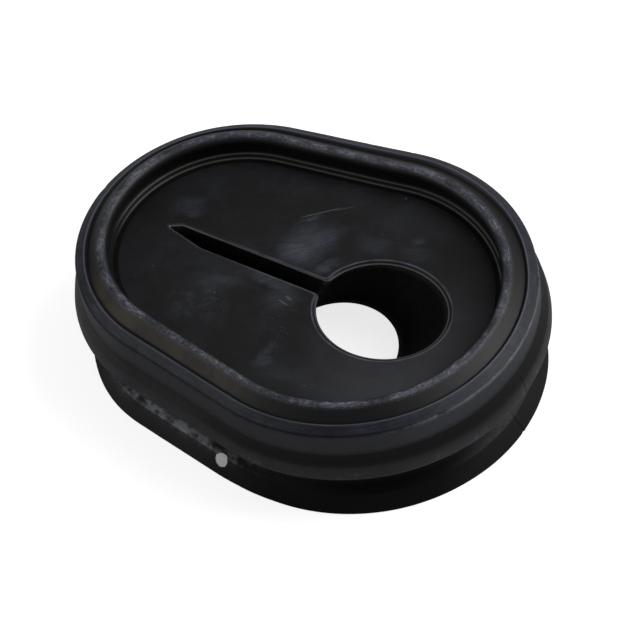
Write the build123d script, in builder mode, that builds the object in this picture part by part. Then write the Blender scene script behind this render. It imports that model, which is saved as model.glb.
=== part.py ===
from build123d import *

import os
from math import acos, atan2, cos, degrees, radians, sin, tan

# A steering column seal: one moulded rubber body that closes the opening a steering column passes
# through. Seen from above it is egg-shaped. A flat web with a leaning bore and a slit lies sunk
# inside a rounded bead. Outside it come a narrow groove, a sloping ledge, an upright band, a
# bulge, a neck for the edge of the panel and a flared foot.
# Lengths are in millimetres. X runs towards the larger end, Z up from the face the foot rests on.
# The origin is on that face, midway between the two ends.

# Plan of the web: two round ends joined by straight sides that touch both.
small_end_radius = 40.2
large_end_radius = 47.9
end_spacing = 43.5

# Levels of the two flat faces, above the face the foot rests on.
web_height = 34.5
underside_height = 4.2

# Bore for the column: its size, its lean from upright and how far it sits into the large end.
bore_radius = 19.0
bore_lean = 31.0
bore_inset = 10.8

# Slit from the bore to its point. The point lies off the middle, with a short and a long taper. Its
# end face slopes in by the run given here by the time it comes out underneath.
slit_width = 5.4
slit_reach = 80.6
slit_point_side = 0.6
slit_taper_near = 13.6
slit_taper_far = 3.2
slit_end_run = 16.1
slit_mouth_radius = 2.2

# Rounding of the upper edge of the bore and the slit.
web_edge_radius = 1.2

# Well above the web: a small sloping step, then the inner wall.
step_out = 0.6
step_height = 2.0
well_wall_out = 1.4

# Bead round the mouth of the well. Its crest is laid out in narrow flats that follow the round, and
# its outer flank slopes down to the groove.
bead_radius = 2.3
bead_out = 2.3
bead_rise = 7.0
bead_flats = 8
flank_slope = 37.0

# Groove between the bead and the ledge.
groove_out = 7.5
groove_width = 1.1
groove_lip = 0.95

# Ledge, which slopes as the bead's flank does, and the upright band under its sharp edge.
ledge_out = 11.8
band_height = 8.6
band_draft = 0.1

# Bulge: it flares out to a rim, then turns back under itself.
flare_out = 2.8
flare_height = 9.0
rim_radius = 1.3
bulge_under_slope = 42.0

# Neck that sits in the opening of the panel.
neck_out = 5.0

# Foot: its top falls away inward from a shoulder, its face flares down to a flat land.
foot_top_slope = 22.0
foot_shoulder_out = 8.7
foot_shoulder_height = 5.9
foot_edge_out = 12.3
foot_land_width = 5.6
foot_inner_slope = 45.0

# How far the body under the web reaches out into the rim that is moulded round it.
body_reach = 3.0

# Plan positions that follow from the sizes above.
large_end_x = (end_spacing + small_end_radius - large_end_radius) / 2
small_end_x = large_end_x - end_spacing
side_angle = degrees(acos((small_end_radius - large_end_radius) / end_spacing))
bore_x = large_end_x + bore_inset

# Points of the rim's section, measured outward from the web's edge and up from the foot's face.
flank_fall = tan(radians(flank_slope))
bead_height = web_height + bead_rise
wall_top_height = bead_height - (bead_radius**2 - (bead_out - well_wall_out) ** 2) ** 0.5
flank_top_out = bead_out + bead_radius * sin(radians(flank_slope))
flank_top_height = bead_height + bead_radius * cos(radians(flank_slope))
groove_height = flank_top_height - (groove_out - flank_top_out) * flank_fall
ledge_in_out = groove_out + groove_width
ledge_in_height = groove_height + groove_lip
ledge_edge_height = ledge_in_height - (ledge_out - ledge_in_out) * flank_fall
band_foot_out = ledge_out + band_draft
band_foot_height = ledge_edge_height - band_height
rim_out = band_foot_out + flare_out
rim_height = band_foot_height - flare_height
neck_top_height = rim_height - (rim_out - neck_out) * tan(radians(bulge_under_slope))
foot_top_fall = (foot_shoulder_out - neck_out) * tan(radians(foot_top_slope))
land_in_out = foot_edge_out - foot_land_width

# Edge of the web, followed once round from the middle of the large end.
with BuildLine() as web_edge:
    first_turn = CenterArc((large_end_x, 0), large_end_radius, 0, side_angle)
    small_turn = CenterArc((small_end_x, 0), small_end_radius, side_angle, 360 - 2 * side_angle)
    last_turn = CenterArc((large_end_x, 0), large_end_radius, -side_angle, side_angle)
    Line(first_turn @ 1, small_turn @ 0)
    Line(small_turn @ 1, last_turn @ 0)

# Space of the slit: pointed at the far end, where its end face slopes down towards the bore.
slit_point = Vector(bore_x - slit_reach, slit_point_side)
slit_near_corner = Vector(slit_point.X + slit_taper_near, -slit_width / 2)
slit_far_corner = Vector(slit_point.X + slit_taper_far, slit_width / 2)
with BuildPart() as slit_space:
    with BuildSketch(Plane.XY.offset(web_height)):
        with BuildLine():
            Polyline(
                slit_point,
                slit_near_corner,
                (bore_x, -slit_width / 2),
                (bore_x, slit_width / 2),
                slit_far_corner,
                close=True,
            )
        make_face()
    extrude(amount=-web_height)
    end_line = slit_far_corner - slit_point
    end_inward = end_line.cross(Vector(0, 0, 1)).normalized()
    end_slope = atan2(web_height - underside_height, slit_end_run)
    end_face = Plane(
        origin=slit_point + Vector(0, 0, web_height),
        x_dir=end_line,
        z_dir=end_inward * sin(end_slope) + Vector(0, 0, cos(end_slope)),
    )
    split(bisect_by=end_face, keep=Keep.TOP)

with BuildPart() as seal:
    # Body under the web.
    with BuildSketch():
        with BuildLine():
            add(web_edge.line)
        make_face()
        offset(amount=body_reach)
    extrude(amount=web_height)

    # Rim: one moulded section carried round the edge of the web.
    section_plane = Plane(origin=first_turn @ 0, x_dir=(1, 0, 0), z_dir=(0, -1, 0))
    with BuildSketch(section_plane):
        with BuildLine():
            well_side = Polyline(
                (-step_out, 0),
                (-step_out, web_height - step_height),
                (step_out, web_height + step_height),
                (well_wall_out, web_height + step_height),
                (well_wall_out, wall_top_height),
            )
            bead_round = ThreePointArc(
                (well_wall_out, wall_top_height),
                (bead_out - bead_radius, bead_height),
                (flank_top_out, flank_top_height),
                mode=Mode.PRIVATE,
            )
            bead = Polyline(*[bead_round @ (flat / bead_flats) for flat in range(bead_flats + 1)])
            outside = FilletPolyline(
                (flank_top_out, flank_top_height),
                (groove_out, groove_height),
                (ledge_in_out, ledge_in_height),
                (ledge_out, ledge_edge_height),
                (band_foot_out, band_foot_height),
                (rim_out, rim_height),
                (neck_out, neck_top_height),
                (neck_out, foot_shoulder_height - foot_top_fall),
                (foot_shoulder_out, foot_shoulder_height),
                (foot_edge_out, 0),
                (-step_out, 0),
                radius=[0, 0, 0, 0, rim_radius, 0, 0, 0, 0],
            )
        make_face()
    sweep(path=web_edge.wire())

    # Hollow of the underside, inside the land of the foot.
    with BuildSketch():
        with BuildLine():
            add(web_edge.line)
        make_face()
        offset(amount=land_in_out)
    extrude(amount=underside_height, taper=90 - foot_inner_slope, mode=Mode.SUBTRACT)

    # Leaning bore, with the slit opening into it.
    lean = radians(bore_lean)
    bore_plane = Plane(
        origin=(bore_x, 0, web_height),
        x_dir=(-cos(lean), 0, sin(lean)),
        z_dir=(sin(lean), 0, cos(lean)),
    )
    with Locations(bore_plane):
        Hole(bore_radius)
    add(slit_space.part, mode=Mode.SUBTRACT)
    mouth_corners = seal.edges().filter_by(Axis(bore_plane.origin, bore_plane.z_dir))
    fillet(mouth_corners, slit_mouth_radius)
    # The web is the highest level face but for the ledge at the foot of the inner wall.
    web = seal.faces().filter_by(Plane.XY).sort_by(Axis.Z)[-2]
    fillet(web.inner_wires()[0].edges(), web_edge_radius)

seal.part.label = "column_seal"
os.makedirs("parts", exist_ok=True)
export_step(seal.part, "parts/column_seal.step")
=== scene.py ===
import logging
from dataclasses import dataclass, field
from enum import Enum, IntEnum
from math import radians
from types import SimpleNamespace

import bpy
import numpy as np
from mathutils import Matrix, Vector


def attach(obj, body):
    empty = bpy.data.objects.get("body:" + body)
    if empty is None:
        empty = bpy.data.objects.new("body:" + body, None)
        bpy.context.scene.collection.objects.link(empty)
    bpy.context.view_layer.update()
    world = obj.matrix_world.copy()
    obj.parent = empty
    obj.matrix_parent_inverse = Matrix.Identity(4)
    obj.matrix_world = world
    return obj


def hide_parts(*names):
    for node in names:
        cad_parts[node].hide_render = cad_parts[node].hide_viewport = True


# Looks of a moulded rubber seal for a steering column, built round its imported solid.
# Sizes are in millimetres in the fields and in metres in the meshes.

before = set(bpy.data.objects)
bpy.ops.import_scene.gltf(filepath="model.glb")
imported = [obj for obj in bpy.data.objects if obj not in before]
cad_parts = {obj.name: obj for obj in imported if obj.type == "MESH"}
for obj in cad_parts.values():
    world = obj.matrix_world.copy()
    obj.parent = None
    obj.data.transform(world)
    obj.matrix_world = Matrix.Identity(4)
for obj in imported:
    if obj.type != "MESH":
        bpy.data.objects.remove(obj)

MM = 0.001
TINY = 1e-9
TURN = 2.0 * np.pi
Pair = tuple[float, float]
Triple = tuple[float, float, float]
Colour = tuple[float, float, float, float]
Masks = dict[str, np.ndarray]
log = logging.getLogger("column_seal")


class Side(Enum):
    """Upper and lower opening of the keyhole through the web."""

    UPPER = "upper"
    LOWER = "lower"


class Ray(IntEnum):
    """Kinds of rays that the mesh follows: off the bore, beside the bore, beside the slit, off its tip."""

    FAN = 0
    BORE = 1
    SLIT = 2
    TIP = 3


class Part(IntEnum):
    """Parts of the closed grid, in the order of its rows."""

    LIP = 0
    WEB = 1
    RIM = 2
    UNDER = 3
    WALL = 4


def smooth(edge0: float, edge1: float, x: np.ndarray) -> np.ndarray:
    """Smooth step 3 t^2 - 2 t^3 from 0 at edge0 to 1 at edge1, which may be the lower of the two."""
    t = np.clip((x - edge0) / (edge1 - edge0), 0.0, 1.0)
    return t * t * (3.0 - 2.0 * t)


def hump(x: np.ndarray, centre: float, half_width: float) -> np.ndarray:
    """Bell curve exp(-((x - centre) / half_width)^2)."""
    return np.exp(-(((x - centre) / half_width) ** 2))


def bell(x: np.ndarray, y: np.ndarray, centre: Pair, half_width: float) -> np.ndarray:
    """Round bell exp(-r^2 / half_width^2), with r the distance from its centre."""
    return np.exp(-((x - centre[0]) ** 2 + (y - centre[1]) ** 2) / half_width**2)


def within(test: np.ndarray, value: np.ndarray | float) -> np.ndarray:
    """The value where a test holds and 0 elsewhere."""
    return np.where(test, value, 0.0)


def unit(vectors: np.ndarray) -> np.ndarray:
    """Vectors along the last axis, scaled to length 1."""
    return vectors / np.maximum(np.linalg.norm(vectors, axis=-1, keepdims=True), TINY)


def middles(count: int) -> np.ndarray:
    """Middles of that many equal parts of 0 to 1."""
    return (np.arange(count) + 0.5) / count


def inner_shares(count: int) -> np.ndarray:
    """That many even shares between 0 and 1, without either end."""
    return np.linspace(0.0, 1.0, count + 2)[1:-1]


def between(start: np.ndarray, end: np.ndarray, share: np.ndarray) -> np.ndarray:
    """Rows of points start (1 - share) + end share, (n, rows, 3), with one share a row or a point."""
    return start[:, None] * (1.0 - share[..., None]) + end[:, None] * share[..., None]


def put(name: str, data: bpy.types.ID) -> bpy.types.Object:
    """Puts a new object into the scene.

    Args:
        name: its name.
        data: its mesh, lamp or camera data.

    Returns:
        The object.
    """
    made = bpy.data.objects.new(name, data)
    bpy.context.scene.collection.objects.link(made)
    return made


def waves(x: np.ndarray, y: np.ndarray, seed: int) -> np.ndarray:
    """Smooth uneven field: a sum of sines with seeded directions and phases, halved in each octave.

    Args:
        x: first coordinate, in wavelengths of the slowest wave.
        y: second coordinate, in the same unit.
        seed: picks the directions and phases.

    Returns:
        A field of about -1 to 1.
    """
    octaves, per_octave, detune, gain = 3, 5, 0.3, 1.6
    rng = np.random.default_rng(seed)
    level = np.arange(octaves).repeat(per_octave)
    angle = rng.uniform(0.0, TURN, level.size)
    phase = rng.uniform(0.0, TURN, level.size)
    rate = TURN * 2.0**level * rng.uniform(1.0 - detune, 1.0 + detune, level.size)
    along = np.multiply.outer(x, np.cos(angle) * rate) + np.multiply.outer(y, np.sin(angle) * rate)
    weight = 0.5**level
    return (np.sin(along + phase) * weight).sum(-1) / weight.sum() * gain


def round_corners(points: np.ndarray, radii: np.ndarray, steps: int) -> np.ndarray:
    """Open outline with its inner corners rounded.

    Each corner P between unit directions a (in) and b (out) turns by the angle between them. Its arc
    starts r tan(turn / 2) before P, and goes round the centre that lies r to the turning side.

    Args:
        points: (n, 2) corners, the first and last being the ends.
        radii: n - 2 radii.
        steps: points on each arc.

    Returns:
        (m, 2) points without doubles.
    """
    corner = points[1:-1]
    a = unit(corner - points[:-2])
    b = unit(points[2:] - corner)
    turn = np.arctan2(a[:, 0] * b[:, 1] - a[:, 1] * b[:, 0], (a * b).sum(1))
    start = corner - a * (radii * np.tan(np.abs(turn) / 2.0))[:, None]
    side = np.sign(turn)[:, None] * np.stack([-a[:, 1], a[:, 0]], 1)
    centre = start + side * radii[:, None]
    u = turn[:, None] * np.linspace(0.0, 1.0, steps)
    arm_x, arm_y = (start - centre).T[:, :, None]
    spun = np.stack([arm_x * np.cos(u) - arm_y * np.sin(u), arm_x * np.sin(u) + arm_y * np.cos(u)], -1)
    line = np.concatenate([points[:1], (centre[:, None] + spun).reshape(-1, 2), points[-1:]])
    shortest = 1e-6
    return line[np.r_[True, np.linalg.norm(np.diff(line, axis=0), axis=1) > shortest]]


def divide(points: np.ndarray, longest: float) -> np.ndarray:
    """Outline with every run cut into equal pieces no longer than a limit.

    Args:
        points: (n, 2) points of an open outline.
        longest: greatest length of a piece.

    Returns:
        (m, 2) points that keep all the given ones.
    """
    run = np.diff(points, axis=0)
    pieces = np.maximum(1, np.ceil(np.linalg.norm(run, axis=1) / longest)).astype(int)
    index = np.repeat(np.arange(len(run)), pieces)
    first = np.cumsum(pieces) - pieces
    share = (np.arange(pieces.sum()) - first[index]) / pieces[index]
    return np.concatenate([points[index] + run[index] * share[:, None], points[-1:]])


@dataclass
class SealPlan:
    """Egg-shaped edge of the web: two round ends joined by straight sides that touch both."""

    small_end_radius: float = 40.2
    large_end_radius: float = 47.9
    end_spacing: float = 43.5

    @property
    def large_end_x(self) -> float:
        """Centre of the large end along X."""
        return (self.end_spacing + self.small_end_radius - self.large_end_radius) / 2.0

    @property
    def small_end_x(self) -> float:
        """Centre of the small end along X."""
        return self.large_end_x - self.end_spacing

    @property
    def side_angle(self) -> float:
        """Angle from +X of the normal that both ends share with a straight side, in radians."""
        return float(np.arccos((self.small_end_radius - self.large_end_radius) / self.end_spacing))

    @property
    def touches(self) -> Pair:
        """Where a straight side touches the small end and the large end, along X."""
        cos = np.cos(self.side_angle)
        return self.small_end_x + self.small_end_radius * cos, self.large_end_x + self.large_end_radius * cos

    def crossing(self, foot: np.ndarray, way: np.ndarray) -> np.ndarray:
        """Distance from points inside the edge to the edge, each along its own direction.

        A ray leaves through the circle of the large end, the circle of the small end or a side line,
        whichever holds the point where it meets it.

        Args:
            foot: (n, 2) start points.
            way: (n, 2) unit directions.

        Returns:
            n distances.
        """

        def circle(centre_x: float, radius: float) -> np.ndarray:
            """Distance to the far side of a circle: -r.w + sqrt((r.w)^2 - r^2 + R^2).

            Args:
                centre_x: its centre along X, from which r runs to the foot.
                radius: its radius R.

            Returns:
                n distances, along each direction w.
            """
            rel = foot - np.array([centre_x, 0.0])
            reach = (rel * way).sum(1)
            return -reach + np.sqrt(np.maximum(reach**2 - (rel**2).sum(1) + radius**2, 0.0))

        cos, sin = np.cos(self.side_angle), np.sin(self.side_angle)
        normal = np.stack([np.full(len(foot), cos), np.where(way[:, 1] < 0, -1.0, 1.0) * sin], 1)
        facing = (way * normal).sum(1)
        gap = self.large_end_radius + self.large_end_x * cos - (foot * normal).sum(1)
        side = gap / np.where(np.abs(facing) < TINY, TINY, facing)
        large = circle(self.large_end_x, self.large_end_radius)
        small = circle(self.small_end_x, self.small_end_radius)
        small_x, large_x = self.touches
        side_x = foot[:, 0] + side * way[:, 0]
        on_side = (facing > TINY) & (side_x <= large_x) & (side_x >= small_x)
        on_large = foot[:, 0] + large * way[:, 0] > large_x
        return np.where(on_side, side, np.where(on_large, large, small))

    def normal(self, edge: np.ndarray) -> np.ndarray:
        """Outward unit normal at points of the edge: away from the nearest centre on the line of centres.

        Args:
            edge: (n, 2) points on the edge.

        Returns:
            (n, 2) normals.
        """
        small_x, large_x = self.touches
        share = np.clip((edge[:, 0] - small_x) / (large_x - small_x), 0.0, 1.0)
        return unit(edge - np.stack([share * self.end_spacing + self.small_end_x, 0.0 * share], 1))


@dataclass
class Keyhole:
    """Leaning bore and pointed slit, as one outline on the web and one on the underside."""

    bore_x: float = 28.7
    bore_radius: float = 18.8
    bore_lean: float = 30.0
    lower_shift: float = 20.1
    lower_long: float = 19.6
    lower_wide: float = 19.7
    slit_half: float = 2.7
    slit_reach: float = 80.6
    slit_point_side: float = 0.6
    taper_near: float = 13.6
    taper_far: float = 3.2
    end_run: float = 27.0
    point_radius: float = 0.3
    mouth_radius: float = 2.2
    mouth_search: tuple[float, int] = (0.9, 400)

    def centre(self, side: Side) -> float:
        """Middle of the bore's opening along X."""
        return self.bore_x - (self.lower_shift if side is Side.LOWER else 0.0)

    def half_axes(self, side: Side) -> Pair:
        """Half lengths of the bore's opening: the lean stretches the upper one along X by 1 / cos(lean).

        Args:
            side: opening.

        Returns:
            The half length along X and the one along Y.
        """
        if side is Side.LOWER:
            return self.lower_long, self.lower_wide
        return self.bore_radius / np.cos(radians(self.bore_lean)), self.bore_radius

    def tip_x(self, side: Side) -> float:
        """Middle of the slit's rounded tip along X: its end face slopes in towards the bore."""
        inward = self.end_run if side is Side.LOWER else 0.0
        return self.bore_x - self.slit_reach + inward + self.point_radius

    def outline_y(self, x: np.ndarray, side: Side, far: np.ndarray) -> np.ndarray:
        """Signed y of the outline at x, on the far (+Y) or near (-Y) side.

        The slit's edge rises from the tip along a straight taper to half its width h. The bore's edge
        is its ellipse. An arc of radius r joins them: its middle M lies at y = h + r, where the ellipse
        moved out by r along its normal reaches that height, and on it y = M_y - sqrt(r^2 - (x - M_x)^2).

        Args:
            x: (n,) positions along X.
            side: opening.
            far: (n,) True on the +Y side.

        Returns:
            (n,) y values.
        """
        taper = np.where(far, self.taper_far, self.taper_near)
        start = self.point_radius + np.where(far, self.slit_point_side, -self.slit_point_side)
        slit = start + (self.slit_half - start) * np.clip((x - self.tip_x(side)) / taper, 0.0, 1.0)
        long, wide = self.half_axes(side)
        bore = wide * np.sqrt(np.clip(1.0 - ((x - self.centre(side)) / long) ** 2, 0.0, 1.0))
        turn = np.linspace(0.0, *self.mouth_search)
        ring = np.stack([-long * np.cos(turn), wide * np.sin(turn)], 1)
        moved = ring + self.mouth_radius * unit(np.stack([-np.cos(turn) / long, np.sin(turn) / wide], 1))
        middle_y = self.slit_half + self.mouth_radius
        middle_x = self.centre(side) + np.interp(middle_y, moved[:, 1], moved[:, 0])
        touch_x = self.centre(side) + np.interp(middle_y, moved[:, 1], ring[:, 0])
        arc = middle_y - np.sqrt(np.clip(self.mouth_radius**2 - (x - middle_x) ** 2, 0.0, None))
        joined = np.where(x < middle_x, slit, np.where(x < touch_x, arc, bore))
        return np.where(far, joined, -joined)


@dataclass
class Stations:
    """Rays from the keyhole to the edge of the web, once round, that every ring of the mesh follows.

    A ray starts on a spine from the slit's tip to the bore's centre. Off the two ends of the spine the
    rays fan out, and between them they run straight along Y.
    """

    fan: int = 170
    bore: int = 72
    slit: int = 72
    tip: int = 54
    split_density: float = 0.55
    bore_turn: float = 0.985
    tip_density: float = 1.25

    def shares(self) -> tuple[np.ndarray, np.ndarray, np.ndarray]:
        """Kind, share of its run and far side of each ray.

        Returns:
            Three arrays, in order round the seal from +X through +Y.
        """
        u = middles(self.fan) * 2.0 - 1.0
        fan = (1.0 - self.split_density) * u + self.split_density * u**3
        half = self.fan // 2
        bore, slit, tip = middles(self.bore), middles(self.slit), middles(self.tip)
        order = [Ray.FAN, Ray.BORE, Ray.SLIT, Ray.TIP, Ray.SLIT, Ray.BORE, Ray.FAN]
        runs = [fan[half:], bore, slit, tip, slit[::-1], bore[::-1], fan[:half]]
        kind = np.repeat(np.array(order, int), [len(run) for run in runs])
        return kind, np.concatenate(runs), np.arange(kind.size) < kind.size // 2

    def rays(self, hole: Keyhole, side: Side) -> tuple[np.ndarray, np.ndarray, np.ndarray]:
        """Feet, directions and keyhole points of the rays on one opening.

        Args:
            hole: the keyhole.
            side: its opening.

        Returns:
            (n, 2) feet on the spine, (n, 2) unit directions and (n, 2) points on the keyhole's outline.
        """
        kind, share, far = self.shares()
        quarter = np.pi / 2.0
        centre, tip_x = hole.centre(side), hole.tip_x(side)
        long, wide = hole.half_axes(side)
        mouth = centre - long * np.sin(quarter * self.bore_turn)
        x_bore = centre - long * np.sin(share * quarter * self.bore_turn)
        x_slit = mouth + (tip_x - mouth) * np.abs(share) ** self.tip_density
        x = np.choose(kind, [centre, x_bore, x_slit, tip_x])
        foot = np.stack([x, np.where(kind == Ray.TIP, hole.slit_point_side, 0.0)], 1)
        angle = np.where(kind == Ray.FAN, share * quarter, quarter + share * np.pi)
        turned = np.stack([np.cos(angle), np.sin(angle)], 1)
        upright = np.stack([0.0 * x, np.where(far, 1.0, -1.0)], 1)
        fans = ((kind == Ray.FAN) | (kind == Ray.TIP))[:, None]
        way = np.where(fans, turned, upright)
        radial = 1.0 / np.sqrt((turned[:, 0] / long) ** 2 + (turned[:, 1] / wide) ** 2)
        out = np.where(kind == Ray.FAN, radial, hole.point_radius)
        straight = np.stack([x, hole.outline_y(x, side, far)], 1)
        return foot, way, np.where(fans, foot + way * out[:, None], straight)


@dataclass
class RimSection:
    """Section of the rim, measured outward from the web's edge and up from the foot's face."""

    web_height: float = 34.5
    underside_height: float = 4.2
    step_foot_out: float = -0.35
    step_out: float = 0.6
    step_height: float = 1.4
    well_wall_out: float = 1.4
    bead_radius: float = 2.3
    bead_out: float = 2.3
    bead_rise: float = 7.0
    flank_slope: float = 37.0
    groove_out: float = 7.5
    groove_width: float = 1.1
    groove_lip: float = 0.95
    ledge_out: float = 11.8
    band_height: float = 8.6
    band_draft: float = 0.1
    flare_out: float = 2.8
    flare_height: float = 9.0
    knee_out: float = 1.9
    knee_height: float = 3.9
    bulge_under_slope: float = 42.0
    neck_out: float = 5.0
    foot_top_slope: float = 37.0
    foot_shoulder_out: float = 8.7
    foot_shoulder_height: float = 5.9
    foot_edge_out: float = 12.3
    foot_land_width: float = 5.6
    foot_inner_slope: float = 45.0
    web_run: float = 2.2
    hollow_run: float = 2.5
    step_radii: Triple = (0.45, 0.25, 0.35)
    radii: dict[str, float] = field(default_factory=lambda: dict(
        groove=0.35, ledge_in=0.3, ledge_edge=0.22, band_foot=0.9, knee=1.6, rim=1.3, neck_top=1.2,
        neck_foot=0.8, shoulder=1.2, foot_edge=0.5, land_in=0.25, hollow=1.0,
    ))
    corner_steps: int = 5
    bead_steps: int = 19
    crown_corners: int = 3
    step_mesh: float = 0.38
    crown_mesh: float = 0.36
    wall_mesh: float = 1.9

    def corners(self) -> dict[str, Pair]:
        """Corners of the section, each worked out from the one before it by lengths and slopes.

        Returns:
            The corners by name as (out, up), in millimetres.
        """
        fall = np.tan(radians(self.flank_slope))
        bead_z = self.web_height + self.bead_rise
        wall_top = bead_z - np.sqrt(self.bead_radius**2 - (self.bead_out - self.well_wall_out) ** 2)
        flank_x = self.bead_out + self.bead_radius * np.sin(radians(self.flank_slope))
        flank_z = bead_z + self.bead_radius * np.cos(radians(self.flank_slope))
        groove_z = flank_z - (self.groove_out - flank_x) * fall
        ledge_x = self.groove_out + self.groove_width
        ledge_z = groove_z + self.groove_lip
        edge_z = ledge_z - (self.ledge_out - ledge_x) * fall
        band_x = self.ledge_out + self.band_draft
        band_z = edge_z - self.band_height
        rim_x = band_x + self.flare_out
        rim_z = band_z - self.flare_height
        neck_z = rim_z - (rim_x - self.neck_out) * np.tan(radians(self.bulge_under_slope))
        top_fall = (self.foot_shoulder_out - self.neck_out) * np.tan(radians(self.foot_top_slope))
        land_x = self.foot_edge_out - self.foot_land_width
        inner_run = self.underside_height / np.tan(radians(self.foot_inner_slope))
        return {
            "step_top": (self.step_out, self.web_height + self.step_height),
            "wall_foot": (self.well_wall_out, self.web_height + self.step_height),
            "wall_top": (self.well_wall_out, wall_top),
            "bead": (self.bead_out, bead_z),
            "flank_top": (flank_x, flank_z),
            "groove": (self.groove_out, groove_z),
            "ledge_in": (ledge_x, ledge_z),
            "ledge_edge": (self.ledge_out, edge_z),
            "band_foot": (band_x, band_z),
            "knee": (band_x + self.knee_out, band_z - self.knee_height),
            "rim": (rim_x, rim_z),
            "neck_top": (self.neck_out, neck_z),
            "neck_foot": (self.neck_out, self.foot_shoulder_height + top_fall),
            "shoulder": (self.foot_shoulder_out, self.foot_shoulder_height),
            "foot_edge": (self.foot_edge_out, 0.0),
            "land_in": (land_x, 0.0),
            "hollow": (land_x - inner_run, self.underside_height),
        }

    def rows(self) -> np.ndarray:
        """Section from the web's edge, over the rim and the foot, to the hollow underneath.

        The bead is an arc of its own radius from the inner wall to the flank. The other corners are
        rounded, and long runs are divided.

        Returns:
            (m, 2) points as (out, up), in millimetres.
        """
        c = self.corners()
        web = [(-self.web_run, self.web_height), (self.step_foot_out, self.web_height)]
        step = np.array([*web, c["step_top"], c["wall_foot"], c["wall_top"]])
        inner = round_corners(step, np.array(self.step_radii), self.corner_steps)
        bead = np.array(c["bead"])
        start, end = np.array(c["wall_top"]) - bead, np.array(c["flank_top"]) - bead
        first = np.arctan2(start[1], start[0]) % TURN
        angle = np.linspace(first, np.arctan2(end[1], end[0]), self.bead_steps)[1:-1]
        arc = bead + self.bead_radius * np.stack([np.cos(angle), np.sin(angle)], 1)
        hollow = (c["hollow"][0] - self.hollow_run, self.underside_height)
        outer = np.array([c["flank_top"], *(c[name] for name in self.radii), hollow])
        outer = round_corners(outer, np.array(list(self.radii.values())), self.corner_steps)
        crown = self.corner_steps * self.crown_corners
        fine = [divide(inner, self.step_mesh), arc, divide(outer[: crown + 1], self.crown_mesh)]
        return np.concatenate([*fine, divide(outer[crown:], self.wall_mesh)[1:]])


@dataclass
class Unevenness:
    """What makes the real moulding uneven. Each is a push along the edge's normal, in millimetres."""

    wave: float = 0.10
    wave_length: float = 60.0
    wave_rise: float = 40.0
    wave_seed: int = 3
    wave_fade: Pair = (3.0, 10.0)
    swell: float = 1.3
    swell_span: Pair = (-62.0, 22.0)
    swell_ease: float = 22.0
    swell_top: Pair = (10.5, 9.0)
    swell_out: Pair = (5.1, 6.4)
    nick: float = 0.22
    nick_length: float = 9.0
    nick_seed: int = 11
    nick_level: Pair = (0.55, 1.0)
    nick_corner: float = 0.8
    ridge: float = 0.16
    ridge_place: Pair = (0.1, 0.26)
    ridge_out: Pair = (5.5, 8.0)
    ridge_top: float = 3.0
    slot: float = 0.12
    slot_place: Pair = (-0.5, 0.3)
    notch: float = 0.12
    notch_place: Pair = (-0.6, 0.4)
    notch_top: Pair = (6.5, 4.5)
    notch_out: Pair = (8.0, 9.5)
    back: float = 0.4
    back_way: Pair = (-0.7, 0.7)
    back_fade: Pair = (-0.1, 0.6)
    back_out: Pair = (8.0, 10.5)
    inner_wall: float = 3.0
    well_shift: Pair = (-1.6, 0.9)
    well_span: Pair = (12.0, -44.0)
    well_out: Pair = (10.0, 4.0)


@dataclass
class Layout:
    """What the grid's rays and rows are: arrays of one value, or point, for each ray or each row."""

    edge: np.ndarray
    normal: np.ndarray
    around: np.ndarray
    part: np.ndarray
    out: np.ndarray
    height: np.ndarray
    across: np.ndarray


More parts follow.
